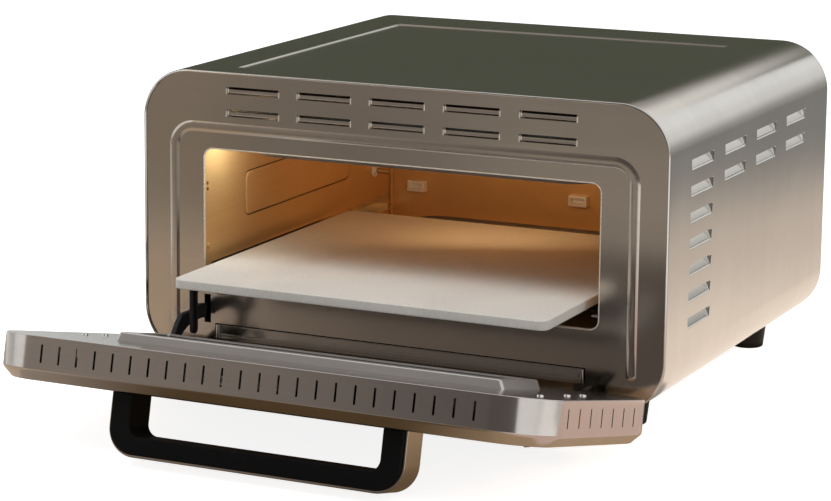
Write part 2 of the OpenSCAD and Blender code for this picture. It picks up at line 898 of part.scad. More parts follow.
module power_switch() {
    color(black_part) on_door() difference() {
        box([-11, 11], [door_out_y + door_t + 0.1, door_out_y + door_t + 16], [band_z - 11, band_z + 11]);
        rod_y(door_out_y, door_out_y + 11, 0, band_z, 6.6);
    }
}

module indicator_lenses() {
    color("#c8401a") on_door() for (x = [-30, 30]) {
        rod_y(control_face - 1.2, door_out_y, x, band_z, 2.5);
    }
}

// A turned knob with a pointer ridge
module knob(x) {
    color(black_part) on_door() {
        rod_y(control_face - knob_h, control_face - 0.5, x, band_z, knob_r - 2);
        rod_y(control_face - 4, control_face - 0.5, x, band_z, knob_r);
        translate([x, control_face - knob_h, band_z])
            box([-3, 3], [-1.5, 0.5], [-knob_r + 3, knob_r - 3]);
        rod_y(control_face - 1, door_out_y + 11, x, band_z, 3);
    }
}

module power_button() {
    color("#202020") on_door() rod_y(control_face - 4, door_out_y + 8, 0, band_z, 6.3);
}

module pizza_stone() {
    r = 8;
    color("#e9e2cf") on_oven() translate([0, stone_y, stone_low]) linear_extrude(stone_t)
        round_rect(stone_w, 0, stone_w, r);
}

// Bars under the stone, with wings that ride on the rails and a pin for the link
module carrier_frame() {
    y0 = 6;
    y1 = stone_y + stone_w - 4;
    bar_low = wing_low;
    color(dark_steel) on_oven() {
        box([-154, -148], [link_y - 4, y1], [bar_low, stone_low]);
        box([148, 154], [y0, y1], [bar_low, stone_low]);
        for (side = [-1, 1]) {
            scale([side, 1, 1]) box([150, 172], [30, y1], [wing_low, wing_low + carrier_t]);
        }
        rod_x(-link_x + link_t / 2 + 0.3, -154, link_y, link_z, 3.4);
        rod_x(-link_x - link_t / 2 - 1, -154, link_y, link_z, link_pin_r);
        box([-148, 148], [y0, y0 + 6], [bar_low, stone_low]);
        box([-148, 148], [y1 - 6, y1], [bar_low, stone_low]);
        for (x = [-50, 50]) {
            box([x - 3, x + 3], [y0 + 6, y1 - 6], [bar_low, stone_low]);
        }
    }
}

// Flat link that hangs from the carrier's pin to the arm
module pull_link() {
    color(black_part) on_oven()
        plate_x(-link_x - link_t / 2, -link_x + link_t / 2) difference() {
            union() {
                translate([link_y - link_w / 2, link_z - link_len]) square([link_w, link_len]);
                translate([link_y, link_z]) circle(link_w / 2);
                translate([link_y, link_z - link_len]) circle(link_w / 2);
            }
            translate([link_y, link_z]) circle(link_pin_r + running_gap);
        }
}

outer_wrap();
base_plate();
rear_panel();
front_fascia();
sill_strip();
cavity_side(-1);  // cavity_left_wall
cavity_side(1);  // cavity_right_wall
cavity_ceiling();
cavity_floor();
cavity_back_wall();
slide_rail(-1);  // slide_rail_left
slide_rail(1);  // slide_rail_right
upper_element();
lower_element();
element_clips();
stop_clips();
temperature_probe();
lamp_housing();
lamp_lens();
insulation_top();
insulation_left();
insulation_right();
terminal_block();
thermal_cutout();
mains_inlet();
inlet_pins();
foot(-foot_x, foot_front);  // foot_front_left
foot(foot_x, foot_front);  // foot_front_right
foot(-foot_x, foot_rear);  // foot_rear_left
foot(foot_x, foot_rear);  // foot_rear_right
foot_screws();
panel_screws();
hinge_bracket(-1);  // hinge_bracket_left
hinge_bracket(1);  // hinge_bracket_right
hinge_pin(-1);  // hinge_pin_left
hinge_pin(1);  // hinge_pin_right
door_shell();
door_inner_panel();
window_frame();
window_inner_glass();
window_outer_glass();
handle_grip();
handle_band();
door_screws();
hinge_arm_left();
hinge_lug_right();
control_plate();
thermostat();
timer();
power_switch();
indicator_lenses();
knob(-knob_x);  // temperature_knob
knob(knob_x);  // timer_knob
power_button();
pizza_stone();
carrier_frame();
pull_link();
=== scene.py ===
import json
import math
import bmesh
import bpy
from mathutils import Matrix, Vector


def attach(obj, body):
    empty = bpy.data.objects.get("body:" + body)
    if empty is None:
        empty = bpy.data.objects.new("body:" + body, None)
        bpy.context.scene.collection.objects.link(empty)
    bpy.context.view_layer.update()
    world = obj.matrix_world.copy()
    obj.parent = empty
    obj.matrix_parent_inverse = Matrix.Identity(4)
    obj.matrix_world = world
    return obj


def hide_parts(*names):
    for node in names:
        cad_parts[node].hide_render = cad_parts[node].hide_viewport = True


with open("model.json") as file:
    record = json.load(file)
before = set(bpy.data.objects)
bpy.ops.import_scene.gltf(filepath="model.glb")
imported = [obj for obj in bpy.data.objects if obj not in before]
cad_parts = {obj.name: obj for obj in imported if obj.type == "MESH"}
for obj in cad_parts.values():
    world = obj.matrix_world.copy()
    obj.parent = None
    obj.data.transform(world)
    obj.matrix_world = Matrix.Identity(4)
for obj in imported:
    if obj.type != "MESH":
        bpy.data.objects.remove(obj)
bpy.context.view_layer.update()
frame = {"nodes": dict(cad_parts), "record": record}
nodes = frame["nodes"]

# where the oven and its open door stand, in millimetres
oven = {"width": 460, "height": 242, "depth": 396, "corner": 42, "foot": 22, "front": -74.862,
        "sheet": 1.2, "openAngle": 77, "pivot": (-14, 5)}
atOven = Matrix.Translation((0, oven["front"] / 1000, oven["foot"] / 1000))
pivotPoint = Vector((0, oven["pivot"][0] / 1000, oven["pivot"][1] / 1000))
atDoor = (atOven @ Matrix.Translation(pivotPoint)
          @ Matrix.Rotation(math.radians(oven["openAngle"]), 4, "X") @ Matrix.Translation(-pivotPoint))


def makeGroup(name, inputs, outputs):
    group = bpy.data.node_groups.new(name, "ShaderNodeTree")
    for label, kind, value in inputs:
        socket = group.interface.new_socket(label, in_out="INPUT", socket_type=kind)
        if value is not None:
            socket.default_value = value
    for label, kind in outputs:
        group.interface.new_socket(label, in_out="OUTPUT", socket_type=kind)
    return group, group.nodes.new("NodeGroupInput"), group.nodes.new("NodeGroupOutput")


def fillInputs(tree, node, values):
    # each input takes a plain value or a link from another node's output
    for key, value in values.items():
        if isinstance(value, bpy.types.NodeSocket):
            tree.links.new(value, node.inputs[key])
        else:
            node.inputs[key].default_value = value


def addNode(tree, kind, values, **settings):
    node = tree.nodes.new("ShaderNode" + kind)
    for label, value in settings.items():
        setattr(node, label, value)
    fillInputs(tree, node, values)
    return node


def makeBrushGroup():
    # fine streaks with slower bands between them; the vector comes squeezed along the brushing
    group, start, end = makeGroup("brushedGrain", [
        ("Vector", "NodeSocketVector", None), ("Fineness", "NodeSocketFloat", 900.0),
        ("Low", "NodeSocketFloat", 0.85), ("High", "NodeSocketFloat", 1.1)],
        [("Tone", "NodeSocketFloat"), ("Height", "NodeSocketFloat")])
    fineShare = 0.65
    fine = addNode(group, "TexNoise", {"Vector": start.outputs["Vector"], "Scale": start.outputs["Fineness"],
                                       "Detail": 3.0, "Roughness": 0.65})
    band = addNode(group, "TexNoise", {"Vector": start.outputs["Vector"], "Scale": 46.0, "Detail": 2.0})
    rest = addNode(group, "Math", {0: band.outputs["Fac"], 1: 1 - fineShare}, operation="MULTIPLY")
    both = addNode(group, "Math", {0: fine.outputs["Fac"], 1: fineShare, 2: rest.outputs[0]},
                   operation="MULTIPLY_ADD")
    tone = addNode(group, "MapRange", {"Value": both.outputs[0], "From Min": 0.32, "From Max": 0.68,
                                       "To Min": start.outputs["Low"], "To Max": start.outputs["High"]})
    fillInputs(group, end, {"Tone": tone.outputs[0], "Height": fine.outputs["Fac"]})
    return group


def makeCloudGroup():
    # slow blotches: handling marks, heat tint, dust
    group, start, end = makeGroup("softBlotches", [
        ("Vector", "NodeSocketVector", None), ("Scale", "NodeSocketFloat", 12.0),
        ("Low", "NodeSocketFloat", 0.92), ("High", "NodeSocketFloat", 1.06)],
        [("Tone", "NodeSocketFloat"), ("Mask", "NodeSocketFloat")])
    noise = addNode(group, "TexNoise", {"Vector": start.outputs["Vector"], "Scale": start.outputs["Scale"],
                                        "Detail": 4.0, "Distortion": 0.6})
    tone = addNode(group, "MapRange", {"Value": noise.outputs["Fac"], "From Min": 0.3, "From Max": 0.7,
                                       "To Min": start.outputs["Low"], "To Max": start.outputs["High"]})
    fillInputs(group, end, {"Tone": tone.outputs[0], "Mask": noise.outputs["Fac"]})
    return group


brushGroup = makeBrushGroup()
cloudGroup = makeCloudGroup()


def newMaterial(name):
    # a material with its tree, its shader and the place on the object that its patterns read
    mat = bpy.data.materials.new(name)
    mat.use_nodes = True
    tree = mat.node_tree
    return mat, tree, tree.nodes["Principled BSDF"], addNode(tree, "TexCoord", {}).outputs["Object"]


def placeGroup(tree, group, vector, **values):
    return addNode(tree, "Group", {"Vector": vector, **values}, node_tree=group).outputs


def tinted(tree, colour, *factors):
    # a colour times each of the tone factors
    for factor in factors:
        colour = addNode(tree, "VectorMath", {0: colour, "Scale": factor}, operation="SCALE").outputs[0]
    return colour


def scaled(tree, factor, low, high):
    return addNode(tree, "MapRange", {"Value": factor, "From Min": 0.85, "From Max": 1.1,
                                      "To Min": low, "To Max": high}).outputs[0]


def bumped(tree, height, strength, distance):
    return addNode(tree, "Bump", {"Height": height, "Strength": strength, "Distance": distance}).outputs[0]


brushings = {"leftRight": (0.02, 1, 1), "frontBack": (1, 0.02, 1), "round": (0.02, 1, 0.02)}


def steelFinish(name, colour, roughness, brushing="leftRight", contrast=0.05, depth=0.05,
                fineness=900.0, metallic=1.0):
    mat, tree, shader, place = newMaterial(name)
    squeezed = addNode(tree, "Mapping", {"Vector": place, "Scale": brushings[brushing]}).outputs[0]
    grain = placeGroup(tree, brushGroup, squeezed, Fineness=fineness, Low=1 - contrast, High=1 + contrast)
    cloud = placeGroup(tree, cloudGroup, place, Scale=9.0, Low=0.96, High=1.04)
    fillInputs(tree, shader, {"Base Color": tinted(tree, colour, grain["Tone"], cloud["Tone"]),
                              "Roughness": scaled(tree, grain["Tone"], roughness + 0.05, roughness - 0.04),
                              "Normal": bumped(tree, grain["Height"], depth, 0.0003), "Metallic": metallic})
    return mat


def grainyFinish(name, colour, roughness, scale, depth, low=0.9, high=1.08, metallic=0.0,
                 coat=0.0, gloss=0.5):
    # moulded plastic, fired stone, blanket or paint: fine grain over slow blotches
    mat, tree, shader, place = newMaterial(name)
    cloud = placeGroup(tree, cloudGroup, place, Scale=14.0, Low=low, High=high)
    speck = placeGroup(tree, cloudGroup, place, Scale=scale, Low=0.94, High=1.05)
    fillInputs(tree, shader, {"Base Color": tinted(tree, colour, cloud["Tone"], speck["Tone"]),
                              "Roughness": scaled(tree, speck["Tone"], roughness + 0.06, roughness - 0.06),
                              "Normal": bumped(tree, speck["Mask"], depth, 0.0004), "Metallic": metallic,
                              "Specular IOR Level": gloss, "Coat Weight": coat})
    return mat


def glassFinish(name, colour, roughness, glow=0.0):
    mat, tree, shader, place = newMaterial(name)
    cloud = placeGroup(tree, cloudGroup, place, Scale=30.0, Low=0.9, High=1.05)
    fillInputs(tree, shader, {"Base Color": tinted(tree, colour, cloud["Tone"]),
                              "Roughness": scaled(tree, cloud["Tone"], roughness + 0.03, roughness),
                              "Transmission Weight": 0.85, "IOR": 1.5})
    if glow:
        fillInputs(tree, shader, {"Emission Strength": glow, "Emission Color": (1.0, 0.72, 0.38, 1)})
    return mat


finishes = {
    "wrap": steelFinish("wrapSteel", (0.61, 0.59, 0.555), 0.16, "round", contrast=0.025, depth=0.006,
                        fineness=700.0),
    "front": steelFinish("fasciaSteel", (0.53, 0.475, 0.42), 0.19, contrast=0.045, depth=0.012,
                         fineness=700.0),
    "door": steelFinish("doorSteel", (0.58, 0.545, 0.51), 0.16, contrast=0.05, depth=0.02),
    "panel": steelFinish("panelSteel", (0.53, 0.51, 0.495), 0.16, contrast=0.04, depth=0.02),
    "bright": steelFinish("brightSteel", (0.72, 0.70, 0.67), 0.20, contrast=0.04, depth=0.02),
    # painted highlight: the hem is the fascia's own steel, drawn lighter, beige and half matt so that it
    # shows as a bright line round the mouth
    "hem": steelFinish("hemSteel", (0.76, 0.66, 0.54), 0.28, contrast=0.03, depth=0.01, metallic=0.35),
    "clip": steelFinish("clipSteel", (0.95, 0.90, 0.80), 0.3, contrast=0.04, depth=0.02, metallic=0.2),
    "frame": steelFinish("frameSteel", (0.55, 0.53, 0.51), 0.24, contrast=0.04, depth=0.01, metallic=0.6),
    # painted warm light: the steel liner's orange-gold colour stands in for the cavity lamp's warm glow,
    # added on top of the warm cavity lamps
    "liner": steelFinish("linerSteel", (0.78, 0.495, 0.215), 0.36, "frontBack", metallic=0.45),
    "zinc": grainyFinish("zincSheet", (0.40, 0.40, 0.39), 0.42, 60.0, 0.15, low=0.8, high=1.15, metallic=1.0),
    "sill": steelFinish("sillSteel", (0.50, 0.465, 0.43), 0.2, contrast=0.05, depth=0.03),
    "tube": grainyFinish("heaterTube", (0.12, 0.10, 0.085), 0.55, 400.0, 0.3, low=0.75, high=1.2),
    "blackSteel": grainyFinish("blackSteel", (0.008, 0.008, 0.009), 0.5, 500.0, 0.2, gloss=0.3),
    "blackPlastic": grainyFinish("blackPlastic", (0.004, 0.004, 0.0042), 0.5, 900.0, 0.25, gloss=0.12),
    "footPlastic": grainyFinish("footPlastic", (0.016, 0.011, 0.007), 0.5, 700.0, 0.35, gloss=0.15),
    "screw": steelFinish("screwSteel", (0.68, 0.67, 0.65), 0.22, contrast=0.06, depth=0.05, fineness=1800.0),
    "stone": grainyFinish("bakingStone", (0.72, 0.685, 0.63), 0.75, 520.0, 0.2, low=0.95, high=1.03,
                          gloss=0.3),
    "blanket": grainyFinish("fibreBlanket", (0.75, 0.72, 0.64), 0.95, 260.0, 1.0, low=0.85, high=1.1),
    "ceramic": grainyFinish("whiteCeramic", (0.80, 0.77, 0.70), 0.45, 300.0, 0.15),
    "case": grainyFinish("controlCase", (0.70, 0.67, 0.59), 0.5, 600.0, 0.2),
    "redLens": grainyFinish("redLens", (0.55, 0.04, 0.02), 0.2, 200.0, 0.05, coat=0.6),
    "windowGlass": glassFinish("windowGlass", (0.16, 0.17, 0.18), 0.03),
    "lampGlass": glassFinish("lampGlass", (0.95, 0.85, 0.6), 0.25, glow=1.2),
}
finishOfSlot = {
    "brushed_shell": "wrap", "brushed_front": "front", "polished_panel": "bright", "liner": "liner",
    "zinc_sheet": "zinc", "black_steel": "blackSteel", "black_plastic": "blackPlastic",
    "foot_plastic": "footPlastic", "screw_steel": "screw", "heater_tube": "tube",
    "window_glass": "windowGlass", "lens_glass": "lampGlass", "insulation": "blanket",
    "ceramic": "ceramic", "control_case": "case", "red_lens": "redLens", "baking_stone": "stone",
}
for row in frame["record"]["subparts"]:
    node = nodes[row["node"]]
    for index in range(len(node.material_slots)):
        node.material_slots[index].material = finishes[finishOfSlot[row["material_slot"]]]
print("finishes ready:", len(finishes))


def deselect():
    if bpy.context.object and bpy.context.object.mode != "OBJECT":
        bpy.ops.object.mode_set(mode="OBJECT")
    bpy.ops.object.select_all(action="DESELECT")


def activate(obj):
    deselect()
    obj.select_set(True)
    bpy.context.view_layer.objects.active = obj


def mm(*values):
    return tuple(v / 1000 for v in values)


def applyPlace(obj, **values):
    # gives an object its place, turn or scale and applies them to its mesh
    for label, value in values.items():
        setattr(obj, label, value)
    activate(obj)
    bpy.ops.object.transform_apply()
    return obj


def selectAll():
    bpy.ops.mesh.select_all(action="SELECT")


def startEdit():
    bpy.ops.object.mode_set(mode="EDIT")
    selectAll()


def endEdit():
    bpy.ops.object.mode_set(mode="OBJECT")


def insets(*steps):
    # insets the selected faces by each (thickness, depth)
    for thickness, depth in steps:
        bpy.ops.mesh.inset(thickness=thickness / 1000, depth=depth / 1000)


def pullFaces(x, y, z):
    bpy.ops.mesh.extrude_region_move(TRANSFORM_OT_translate={"value": mm(x, y, z)})


def pullEdges(x, y, z):
    bpy.ops.mesh.extrude_edges_move(TRANSFORM_OT_translate={"value": mm(x, y, z)})


def shiftPicked(x, y=0, z=0):
    bpy.ops.transform.translate(value=mm(x, y, z))


def splitAt(axis, place, **values):
    # cuts all edited faces in the plane at this place along the axis
    selectAll()
    plane = Vector([float(axis == letter) for letter in "XYZ"])
    bpy.ops.mesh.bisect(plane_co=plane * place / 1000, plane_no=plane, **values)


def dropAll(*objects):
    for obj in objects:
        bpy.data.objects.remove(obj)


def block(x, y, z):
    # a box from its ranges
    deselect()
    size = [abs(r[1] - r[0]) / 1000 for r in (x, y, z)]
    centre = [(r[1] + r[0]) / 2000 for r in (x, y, z)]
    bpy.ops.mesh.primitive_cube_add(size=1, location=centre)
    return applyPlace(bpy.context.object, scale=size)


def barrel(x, y, z, radius, length, axis="Y", sides=32, tip=None):
    # a round bar about its centre, or a cone when tip gives the other radius
    deselect()
    turn = {"X": (0, math.pi / 2, 0), "Y": (math.pi / 2, 0, 0), "Z": (0, 0, 0)}[axis]
    bpy.ops.mesh.primitive_cone_add(vertices=sides, radius1=radius / 1000,
                                    radius2=(radius if tip is None else tip) / 1000,
                                    depth=length / 1000, location=mm(x, y, z), rotation=turn)
    return applyPlace(bpy.context.object)


def roundPanel(width, low, high, radius, y, segments=14, x=0):
    # a flat panel facing the front, with round corners
    deselect()
    bpy.ops.mesh.primitive_plane_add(size=1, location=mm(x, y, (low + high) / 2),
                                     rotation=(math.pi / 2, 0, 0))
    obj = applyPlace(bpy.context.object, scale=(width / 1000, (high - low) / 1000, 1))
    startEdit()
    bpy.ops.mesh.bevel(offset=radius / 1000, offset_type="OFFSET", segments=segments,
                       affect="VERTICES", profile=0.5)
    endEdit()
    return obj


def pick(kind, test):
    # in edit mode, selects the verts, edges or faces whose middle, in millimetres, passes the test
    bpy.ops.mesh.select_all(action="DESELECT")
    bpy.ops.mesh.select_mode(type={"verts": "VERT", "edges": "EDGE", "faces": "FACE"}[kind])
    mesh = bmesh.from_edit_mesh(bpy.context.object.data)
    for item in getattr(mesh, kind):
        if kind == "verts":
            place = item.co
        elif kind == "edges":
            place = (item.verts[0].co + item.verts[1].co) / 2
        else:
            place = item.calc_center_median()
        if test(place * 1000):
            item.select_set(True)
    mesh.select_flush_mode()
    bmesh.update_edit_mesh(bpy.context.object.data)


def useModifier(obj, kind, **values):
    activate(obj)
    modifier = obj.modifiers.new(kind.lower(), kind)
    for label, value in values.items():
        setattr(modifier, label, value)
    bpy.ops.object.modifier_apply(modifier=modifier.name)


def thicken(obj, thickness, offset=-1.0):
    useModifier(obj, "SOLIDIFY", thickness=thickness / 1000, offset=offset, use_even_offset=True)


def softenEdges(obj, width, segments=3, angle=35):
    useModifier(obj, "BEVEL", width=width / 1000, segments=segments, limit_method="ANGLE",
                angle_limit=math.radians(angle), harden_normals=False)


def outward(obj):
    activate(obj)
    startEdit()
    bpy.ops.mesh.remove_doubles(threshold=0.000004)
    bpy.ops.mesh.normals_make_consistent(inside=False)
    endEdit()


def joinAll(objects):
    deselect()
    for obj in objects:
        obj.select_set(True)
    bpy.context.view_layer.objects.active = objects[0]
    if len(objects) > 1:
        bpy.ops.object.join()
    return bpy.context.object


def cutAway(obj, cutters):
    cutter = joinAll(cutters)
    useModifier(obj, "BOOLEAN", object=cutter, operation="DIFFERENCE", solver="EXACT")
    bpy.data.objects.remove(cutter)


def copyOf(obj, **values):
    twin = obj.copy()
    twin.data = obj.data.copy()
    bpy.context.collection.objects.link(twin)
    return applyPlace(twin, **values)


def copyTo(obj, x, y, z):
    return copyOf(obj, location=mm(x, y, z))


def mirrorCopy(obj):
    twin = copyOf(obj, scale=(-1, 1, 1))
    outward(twin)
    return twin


def finishPiece(obj, name, finish, body, place, replaced):
    obj.name = name
    obj.data.name = name
    applyPlace(obj, matrix_world=place)
    bpy.ops.object.shade_smooth_by_angle(angle=math.radians(30))
    useModifier(obj, "WEIGHTED_NORMAL", keep_sharp=True, weight=60)
    obj.data.materials.clear()
    obj.data.materials.append(finishes[finish])
    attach(obj, body)
    if replaced:
        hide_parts(*replaced)


wrapLook = {"bead": 1.5, "cornerX": 186, "pressHalf": 157, "pressY": (30, 340), "pressDepth": 0.9,
            "louvreStart": 48, "louvreLength": 52, "louvrePitch": 78.2, "louvreTop": 194, "louvreStep": 20.9,
            "louvre": {"length": 49.5, "height": 9, "depth": 4.5, "foot": 8, "gap": 0, "flare": 2.4},
            "columns": 4, "rows": 7}


def wedge(length, y, heel, z, foot):
    # a block whose back face leans out from the heel at the bottom to its full depth at the foot's height
    obj = block((-length / 2, length / 2), y, z)
    startEdit()
    splitAt("Z", foot)
    pick("edges", lambda p: p.y > y[1] - 0.01 and p.z < z[0] + 0.01)
    shiftPicked(0, heel - y[1])
    endEdit()
    return obj


def makePocket(louvre, wall=0.7):
    # a louvre pressed inwards, with a flap that is open above its top edge, and its cutter
    length, height, depth, foot = (louvre[key] for key in ("length", "height", "depth", "foot"))
    inner = wedge(length - 1.6, (-1.5, depth), 0.35, (0.2, height), foot)
    if louvre["flare"]:
        startEdit()
        for side in (-1, 1):
            pick("verts", lambda p: p.y < 0 and p.x * side > 0)
            shiftPicked(side * louvre["flare"])
        endEdit()
    softenEdges(inner, 0.5, segments=3, angle=30)
    outer = wedge(length + 2 * louvre["flare"], (0.9, depth + wall), 1.1, (-0.8, height - 0.1), foot)
    useModifier(outer, "BOOLEAN", object=inner, operation="DIFFERENCE", solver="EXACT")
    if louvre["gap"]:
        cutAway(outer, [block((-length / 2 + 0.8, length / 2 - 0.8), (depth - 0.3, depth + wall + 1),
                              (height - louvre["gap"], height + 1))])
    return outer, inner


def makeWrap():
    look = wrapLook
    wrap = roundPanel(oven["width"], 0, oven["height"], oven["corner"], look["bead"], segments=18)
    startEdit()
    insets((0.5, 0.9), (0.9, 0.5), (0.7, -0.9))    # the bead round the front edge
    bpy.ops.mesh.delete(type="FACE")
    pick("edges", lambda p: abs(p.y - look["bead"]) < 0.01
         and (abs(p.x) > look["cornerX"] or p.z < 0.01 or p.z > oven["height"] - 0.01))
    pullEdges(0, oven["depth"] - look["bead"], 0)
    half, (y0, y1) = look["pressHalf"], look["pressY"]
    for axis, place in (("X", -half), ("X", half), ("Y", y0), ("Y", y1)):
        splitAt(axis, place)
    pick("faces", lambda p: p.z > oven["height"] - 0.1 and y0 < p.y < y1 and abs(p.x) < half)
    pullFaces(0, 0, -look["pressDepth"])
    endEdit()
    outward(wrap)
    softenEdges(wrap, 0.3, segments=2, angle=40)
    thicken(wrap, oven["sheet"])
    pocket, cutter = makePocket(look["louvre"])
    for piece in (pocket, cutter):
        applyPlace(piece, rotation_euler=(0, 0, math.pi / 2))
    pockets, slots = [], []
    for column in range(look["columns"]):
        for row in range(look["rows"]):
            if row > 1 and column > 0:
                continue
            y = look["louvreStart"] + column * look["louvrePitch"] + look["louvreLength"] / 2
            z = look["louvreTop"] - row * look["louvreStep"] - look["louvre"]["height"]
            for source, copies in ((pocket, pockets), (cutter, slots)):
                one = copyTo(source, oven["width"] / 2, y, z)
                copies.extend((one, mirrorCopy(one)))
    dropAll(pocket, cutter)
    cutAway(wrap, slots)
    wrap = joinAll([wrap] + pockets)
    finishPiece(wrap, "outerWrap", "wrap", "oven", atOven, ["outer_wrap"])


fasciaLook = {"face": 2, "sheet": 1.2, "mouthWidth": 348, "mouthLow": 62, "mouthHigh": 178, "mouthCorner": 8,
              "borderWidth": 412, "borderTop": 200, "borderLow": 25.5, "borderCorner": 22, "band": 9,
              "louvre": {"length": 47.5, "height": 6.5, "depth": 2.2, "foot": 1.6, "gap": 2.4, "flare": 1.6},
              "louvrePitch": 64.5, "louvreColumns": 5, "louvreRows": (230, 211.5),
              "sillHalf": 163, "sillZ": (18.5, 30.5),
              "armSlot": ((-174, -168), (31.2, 55.3)), "linkSlot": ((-162, -154), (56, 66)),
              "lowNotch": ((160.8, 165.2), (-3, 13.6))}


def makeFascia():
    look = fasciaLook
    edge = wrapLook["bead"]
    face = roundPanel(oven["width"] - 2 * edge, edge, oven["height"] - edge, oven["corner"] - edge,
                      look["face"], segments=18)
    thicken(face, look["sheet"])
    softenEdges(face, 0.5, segments=2)
    mouth = roundPanel(look["mouthWidth"], look["mouthLow"], look["mouthHigh"], look["mouthCorner"], -3,
                       segments=8)
    thicken(mouth, 10)
    cutAway(face, [mouth])
    softenEdges(face, 0.8, segments=3, angle=50)
    half, (low, high) = look["sillHalf"], look["sillZ"]
    (near, far), notchZ = look["lowNotch"]
    openings = [((-half - 0.9, half + 0.9), (low - 0.3, high + 0.9)), look["armSlot"], look["linkSlot"]]
    openings += [((side * near, side * far), notchZ) for side in (-1, 1)]
    cutters = [block(x, (-1, 8), z) for x, z in openings]
    pockets = []
    pocket, cutter = makePocket(look["louvre"])
    ear = barrel(0, look["face"], 2.6, 0.75, 5.2, "Z", sides=14)    # the folded end of a louvre
    softenEdges(ear, 0.3, segments=2)
    for top in look["louvreRows"]:
        for i in range(look["louvreColumns"]):
            x = (i - (look["louvreColumns"] - 1) / 2) * look["louvrePitch"]
            place = (x, look["face"], top - look["louvre"]["height"])
            pockets.append(copyTo(pocket, *place))
            cutters.append(copyTo(cutter, *place))
            end = look["louvre"]["length"] / 2 + 0.2
            pockets += [copyTo(ear, x + side * end, 0, place[2]) for side in (-1, 1)]
    dropAll(ear, pocket, cutter)
    cutAway(face, cutters)
    softenEdges(face, 0.2, segments=2, angle=60)
    band = roundPanel(look["borderWidth"], look["borderLow"] - 30, look["borderTop"], look["borderCorner"],
                      look["face"] + 0.1)
    startEdit()
    insets((look["band"], 0))
    bpy.ops.mesh.delete(type="FACE")
    splitAt("Z", look["borderLow"], clear_inner=True)
    pick("verts", lambda p: p.z < look["borderLow"] + 0.1)
    bpy.ops.mesh.bevel(offset=look["band"] / 2100, offset_type="OFFSET", segments=6, affect="VERTICES",
                       profile=0.5)
    selectAll()
    insets((1.6, 0.8), (1.4, 0.3))
    endEdit()
    face = joinAll([face, band] + pockets)
    finishPiece(face, "frontFascia", "front", "oven", atOven, ["front_fascia"])


def makeMouthHem():
    # the rolled edge round the mouth, given a lighter finish that paints its highlight
    look = fasciaLook
    lip = 0.5
    hem = roundPanel(look["mouthWidth"] + 2 * lip, look["mouthLow"] - lip, look["mouthHigh"] + lip,
                     look["mouthCorner"] + lip, look["face"] + 0.1, segments=8)
    startEdit()
    insets((1, 0))
    bpy.ops.mesh.delete(type="FACE")
    selectAll()
    insets((0.3, 0.4))
    endEdit()
    thicken(hem, 1.6)
    finishPiece(hem, "mouthHem", "hem", "oven", atOven, [])


def makeSill():
    look = fasciaLook
    low, high = look["sillZ"]
    half, rear = look["sillHalf"], 4.2
    rows = [((rear - 0.3, rear + 0.9), (low, high)), ((1.1, rear), (low, low + 1.2)),
            ((1.6, rear), (low + 2.6, low + 3.6)), ((2, rear), (high - 1, high))]
    strips = [block((-half, half), y, z) for y, z in rows]
    for side in (-1, 1):
        strips.append(block((side * half, side * (half - 1.2)), (1.3, rear), (low, high)))
        strips.append(barrel(side * (half - 1.7), 2.4, (low + high) / 2, 1.6, high - low - 1, "Z", sides=24))
    for strip in strips:
        softenEdges(strip, 0.3, segments=2)
    finishPiece(joinAll(strips), "sillStrip", "sill", "oven", atOven, ["sill_strip"])


makeWrap()
makeFascia()
makeMouthHem()
makeSill()
print("shell modelled")


cavityLook = {"x": 176, "front": 3.6, "back": 366, "low": 57, "high": 190, "wall": 1.0,
              "panelY": (77, 278), "panelZ": (107, 146), "rise": 0.8, "seam": 0.9,
              "panelCorner": 7, "holes": (11.8, (141.5, 146.5)), "screw": (12.7, 93.4), "probe": (330, 106),
              "elementHoles": ((300, 312), (171, 64)), "lampHole": ((318, 346), (146, 164)),
              "backPress": (240, 110, 160, 10)}


def turnedPanel(yRange, zRange, radius, x, rise=0):
    # a pressed panel on the inside of a left wall
    y0, y1 = yRange
    obj = roundPanel(y1 - y0, zRange[0], zRange[1], radius, 0, segments=6)
    if rise:
        startEdit()
        insets((1.2, rise), (1, 0.1))
        endEdit()
    return applyPlace(obj, rotation_euler=(0, 0, math.pi / 2), location=mm(x, (y0 + y1) / 2, 0))


def panHead(x, y, z, radius, axis):
    # a slotted screw head that faces along the axis
    narrow, halfSlot = radius * 0.8, 0.4
    ends = (radius, narrow) if axis == "X" else (narrow, radius)
    head = barrel(x, y, z, ends[0], 1.4, axis, sides=24, tip=ends[1])
    softenEdges(head, 0.25, segments=2)
    ranges = {"X": ((x + 0.3, x + 1.5), (y - halfSlot, y + halfSlot)),
              "Y": ((x - halfSlot, x + halfSlot), (y + 0.3, y + 1.5))}[axis]
    cutAway(head, [block(*ranges, (z - radius, z + radius))])
    return head


